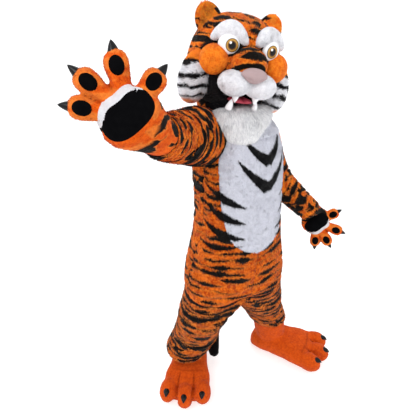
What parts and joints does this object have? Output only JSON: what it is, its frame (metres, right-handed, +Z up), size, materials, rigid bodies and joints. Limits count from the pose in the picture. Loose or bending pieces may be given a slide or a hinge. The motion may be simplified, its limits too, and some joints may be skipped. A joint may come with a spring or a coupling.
{
  "type": "tiger mascot costume",
  "caption": "Wearable plush tiger mascot costume: hollow head, fur suit with a pale belly panel, paw gloves, paw feet and a stuffed tail, posed waving.",
  "frame": {"origin": "between the wearer's shoulders, where the suit hangs from its wearer; the soles lie 1.34 m below", "axes": "+Z up; -Y is the way the hips face; +X is towards the wearer's left"},
  "size_m": [1.2327, 0.6855, 1.7899],
  "materials": {
    "tiger_fur": "orange plush fur with dark stripes",
    "orange_fur": "short orange plush",
    "white_fur": "white plush",
    "black_cloth": "black cloth",
    "claw": "glossy black",
    "tooth": "satin white",
    "nose_cloth": "greyish pink cloth over foam",
    "tongue_cloth": "red cloth",
    "eye": "glossy dome"
  },
  "bodies": {
    "root": {"back_zip_fly": "orange_fur", "beard": "white_fur", "brow_left": "white_fur", "brow_right": "white_fur", "cheek_left": "orange_fur", "cheek_right": "orange_fur", "claw_one_left": "claw", "claw_one_right": "claw", "claw_three_left": "claw", "claw_three_right": "claw", "claw_thumb_left": "claw", "claw_thumb_right": "claw", "claw_two_left": "claw", "claw_two_right": "claw", "ear_left": "orange_fur", "ear_right": "orange_fur", "eye_left": "eye", "eye_right": "eye", "fang_lower_left": "tooth", "fang_lower_right": "tooth", "fang_upper_left": "tooth", "fang_upper_right": "tooth", "finger_pad_one_left": "black_cloth", "finger_pad_one_right": "black_cloth", "finger_pad_three_left": "black_cloth", "finger_pad_three_right": "black_cloth", "finger_pad_thumb_left": "black_cloth", "finger_pad_thumb_right": "black_cloth", "finger_pad_two_left": "black_cloth", "finger_pad_two_right": "black_cloth", "foot_left": "orange_fur", "foot_right": "orange_fur", "glove_left": "orange_fur", "glove_right": "orange_fur", "head_shell": "tiger_fur", "leg_left": "tiger_fur", "leg_right": "tiger_fur", "mouth_lining": "black_cloth", "muzzle": "white_fur", "neck_collar": "tiger_fur", "nose": "nose_cloth", "palm_pad_left": "black_cloth", "palm_pad_right": "black_cloth", "ruff_left": "white_fur", "ruff_right": "white_fur", "sleeve_left": "tiger_fur", "sleeve_right": "tiger_fur", "suit_back_left": "tiger_fur", "suit_back_right": "tiger_fur", "suit_belly": "white_fur", "suit_front_left": "tiger_fur", "suit_front_right": "tiger_fur", "tail": "tiger_fur", "toe_claw_one_left": "claw", "toe_claw_one_right": "claw", "toe_claw_three_left": "claw", "toe_claw_three_right": "claw", "toe_claw_two_left": "claw", "toe_claw_two_right": "claw", "tongue": "tongue_cloth"}
  },
  "joints": []
}
